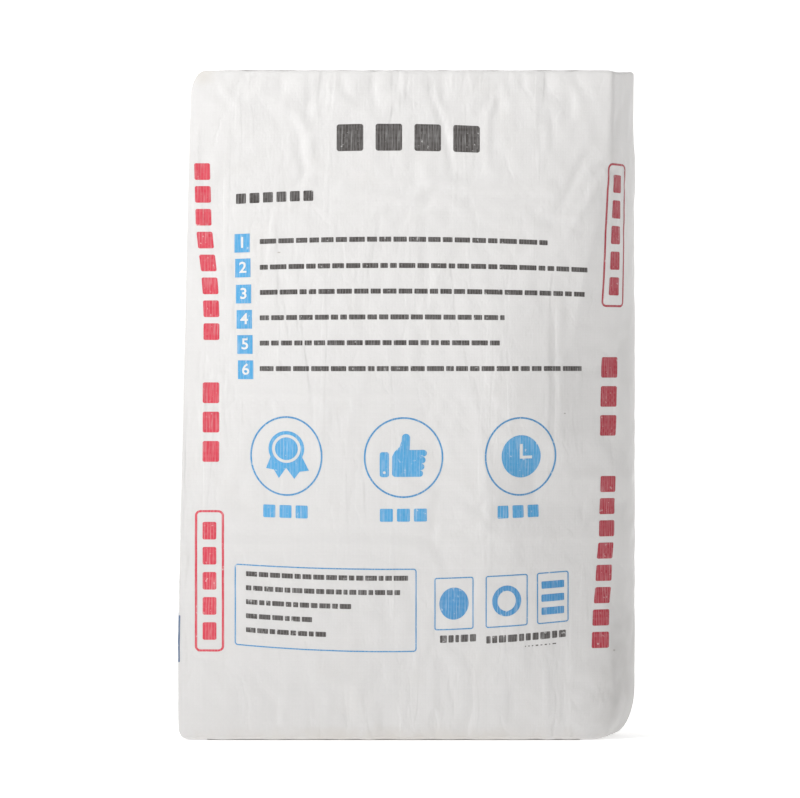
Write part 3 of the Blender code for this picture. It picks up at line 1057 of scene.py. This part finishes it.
def blue_shapes():
    """The squares, the figures in the rings and their captions."""
    made = number_squares()
    for figure, (x, z) in zip((rosette, raised_thumb, clock), RINGS_AT):
        made += figure(x, z)
    for left, right, middle in CAPTIONS:
        made += blocks(left, right, middle, CAPTION_HEIGHT, 3, 3.8)
    return made


def frame_line(left, low, right, high, line=1.1, radius=3.0):
    """A thin outline with rounded corners."""
    inner = rectangle(left + line, low + line, right - line, high - line, radius - line)
    return shape(rectangle(left, low, right, high, radius), inner)


def blue_lines():
    """The rings, the long frame and the three small frames with a plain shape in each."""
    made = [
        shape(ellipse(x, z, wide, high), ellipse(x, z, wide - RING_LINE, high - RING_LINE))
        for (x, z), (wide, high) in zip(RINGS_AT, RING_HALVES)
    ]
    made.append(frame_line(-159.8, 84.0, 9.2, 161.5))
    small = ((25.7, 62.2), (73.4, 112.6), (121.1, 150.6))
    made += [frame_line(left, 103.5, right, 152.5, radius=2.4) for left, right in small]
    middles = [(left + right) / 2 for left, right in small]
    made.append(shape(ellipse(middles[0], 128.0, 13.6, 15.0)))
    made.append(shape(ellipse(middles[1], 128.0, 13.5, 14.5), ellipse(middles[1], 128.0, 8.5, 9.5)))
    left, right = middles[2] - 10.5, middles[2] + 10.5
    made += [shape(rectangle(left, low, right, low + 7.0, 1)) for low in (112.0, 124.5, 137.0)]
    return made


def upright_blocks(middle, width, low, high, count, gap):
    """Equal plain blocks in a column."""
    left, right = middle - width / 2, middle + width / 2
    return [shape(rectangle(left, start, right, end, 1.6)) for start, end in spaced(low, high, count, gap)]


def boxed_blocks(middle, low, high, count, half_width):
    """A rounded thin frame round a column of plain blocks."""
    frame = frame_line(middle - half_width, low, middle + half_width, high, line=2.0, radius=5.0)
    return [frame] + upright_blocks(middle, half_width - 0.7, low + 11.0, high - 11.0, count, 7.0)


def red_shapes():
    """The strips beside both edges."""
    left, right = 0.0, RIGHT_STRIP_MARK / MM
    made = upright_blocks(left, 14.0, 374.5, 539.5, 8, 5.8)
    made += upright_blocks(left, 14.5, 261.0, 335.0, 3, 8.0)
    made += boxed_blocks(left, 84.0, 216.0, 5, 12.7) + boxed_blocks(right, 406.0, 540.5, 5, 14.5)
    made += upright_blocks(right, 19.5, 285.0, 359.0, 3, 8.0)
    return made + upright_blocks(right, 18.0, 86.0, 247.0, 8, 5.8)


def slate_shapes():
    """A plain block on the left side, just round the fold."""
    return [shape(rectangle(-306.0, 74.0, -196.4, 118.0, 1.0))]


def dressed(name, low, high, z_at, faces_up, look):
    """A thin sheet in its solid's place: a fine grid at the heights that z_at gives."""
    flat = (high.x - low.x, high.y - low.y)
    across = np.linspace(low.x, high.x, round((high.x - low.x) / COVER_CELL) + 1)
    deep = np.linspace(-flat[1] / 2, flat[1] / 2, round(flat[1] / COVER_CELL) + 1)
    x, y = np.meshgrid(across, deep)
    points = np.stack([x, y, z_at(x, y)], -1).reshape(-1, 3)
    quads = cells(np.arange(x.size).reshape(x.shape))
    if not faces_up:
        quads = quads[:, ::-1]
    piece = mesh_object(name, points, quads)
    uv_layer(piece.data, "fabric", points[quads.ravel(), :2])
    thickness = piece.modifiers.new("thickness", "SOLIDIFY")
    thickness.thickness = COVER_PLY
    thickness.offset = 1.0
    piece.data.materials.append(look)
    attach(piece, "root")
    return piece


COVER_CELL = 0.002
COVER_PLY = 0.00035


def wavy(x, y):
    """Small waves of a welded sheet, from 0 to 1."""
    wave = np.sin(140 * x + 60 * y) + np.sin(-95 * x + 120 * y + 1.3) + np.sin(260 * x - 90 * y + 0.4)
    return 0.5 + wave / 6


wall = Wall()
sack = sack_object(wall)
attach(sack, "root")
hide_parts("sack_body")
sack.data.materials.append(woven_material("woven_film_look", (0.76, 0.752, 0.745), stains_and_shade=STAINS_AND_PAINTED_SHADE))

inks = {name: ink_material(name, colour) for name, colour in INKS.items()}
print_object("print_lines", wall, dark_lines(), inks["ink_dark"])
print_object("print_figures", wall, blue_shapes(), inks["ink_blue"])
print_object("print_frames", wall, blue_lines(), inks["ink_line_blue"])
print_object("print_strips", wall, red_shapes(), inks["ink_red"], place=strip_places)
white = woven_material("numeral_white", (0.82, 0.815, 0.81))
print_object("print_numerals", wall, numerals(), white, lift=2 * PRINT_LIFT)
print_object("print_side_block", wall, slate_shapes(), inks["ink_slate"], place=side_artwork)

# The cover sheets on both ends, and the valve's sleeve under the upper one
top_low, top_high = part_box("top_patch")
bottom_low, bottom_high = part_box("bottom_patch")
sleeve_low, sleeve_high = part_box("valve_sleeve")
JOGGLE = 0.006  # length of the step where the upper sheet climbs over the sleeve
CLEARANCE = 0.0002  # between the sleeve's top and the upper sheet
WAVE, TOP_WAVE = 0.0001, 0.00025
sleeve_top = sleeve_low.z + COVER_PLY + CLEARANCE


def top_height(x, y):
    climb = 1 - smooth_step((x - sleeve_high.x) / JOGGLE)
    climb = climb * (1 - smooth_step((np.abs(y) - sleeve_high.y) / JOGGLE))
    return top_low.z + climb * (sleeve_top - top_low.z + CLEARANCE) + TOP_WAVE * wavy(x, y)


def bottom_height(x, y):
    return bottom_low.z + COVER_PLY + WAVE * wavy(x, y)


cover_look = woven_material("cover_film_look", (0.78, 0.77, 0.755), dusty=0.10)
cover = dressed("top_cover", top_low, top_high, top_height, True, cover_look)
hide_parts("top_patch")
foot = dressed("bottom_cover", bottom_low, bottom_high, bottom_height, False, cover_look)
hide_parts("bottom_patch")


def paper_material():
    """Brown kraft paper with its fibres."""
    shader = Shader("kraft_look")
    fibre = shader.noise(900.0, 4.0, (0.15, 1.0, 1.0))
    mixed = shader.math("MULTIPLY_ADD", fibre, 0.6, shader.math("MULTIPLY", shader.noise(60.0, 4.0), 0.4))
    return shader.surfaced({
        "Base Color": shader.mix(mixed, (0.34, 0.235, 0.145), (0.55, 0.42, 0.29)),
        "Roughness": 0.8,
        "Normal": shader.bump(fibre, 0.0001, 0.5),
    })


def valve_height(x, y):
    return sleeve_low.z + WAVE * wavy(x, y)


valve = dressed("valve", sleeve_low, sleeve_high, valve_height, True, paper_material())
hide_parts("valve_sleeve")


SWEEP = 1.5  # radius of the backdrop's curve up from the floor
BACKDROP = 3.5  # how far behind the sack it stands


def studio():
    """A pale floor, a pale world and a soft light from the left."""
    profile = [(-12.0, 0.0)] + arc(BACKDROP - SWEEP, SWEEP, SWEEP, -90, 0, 16) + [(BACKDROP, 12.0)]
    points = [(x, y, z) for x in (-14.0, 14.0) for y, z in profile]
    count = len(profile)
    floor = mesh_object("floor", points, cells(np.arange(2 * count).reshape(2, count).T))
    shader = Shader("floor_look")
    floor.data.materials.append(shader.surfaced({
        "Base Color": (0.95, 0.95, 0.95, 1.0),
        "Roughness": 0.9,
        "Emission Color": (1.0, 1.0, 1.0, 1.0),
        "Emission Strength": shader.ramp(shader.parts(shader.object_place())[2], 0.0, 1.5, 0.40, 0.62),
    }))
    world = bpy.data.worlds.new("studio")
    bpy.context.scene.world = world
    world.use_nodes = True
    background = world.node_tree.nodes["Background"]
    background.inputs["Color"].default_value = (1.0, 0.985, 0.972, 1.0)
    background.inputs["Strength"].default_value = 0.36
    lamp = bpy.data.lights.new("key", "AREA")
    lamp.size, lamp.energy = 0.7, 32.0
    key = linked("key", lamp)
    key.location = (-1.35, -1.0, 1.75)
    key.rotation_euler = (Vector((0, 0, 0.45)) - key.location).to_track_quat("-Z", "Y").to_euler()


def camera():
    """The photograph's view: level, from the front, at half the sack's height."""
    lens = bpy.data.cameras.new("camera")
    holder = linked("camera", lens)
    pixel = 2 * HALF_WIDTH / SACK_WIDTH_PX
    lens.lens = lens.sensor_width * CAMERA_DISTANCE / (FRAME_WIDTH_PX * pixel)
    holder.location = ((FRAME_WIDTH_PX / 2 - SACK_MIDDLE_PX) * pixel, -CAMERA_DISTANCE, CAMERA_HEIGHT)
    holder.rotation_euler = (pi / 2, 0, 0)
    bpy.context.scene.camera = holder


studio()
camera()
bpy.context.scene.view_settings.view_transform = "Standard"
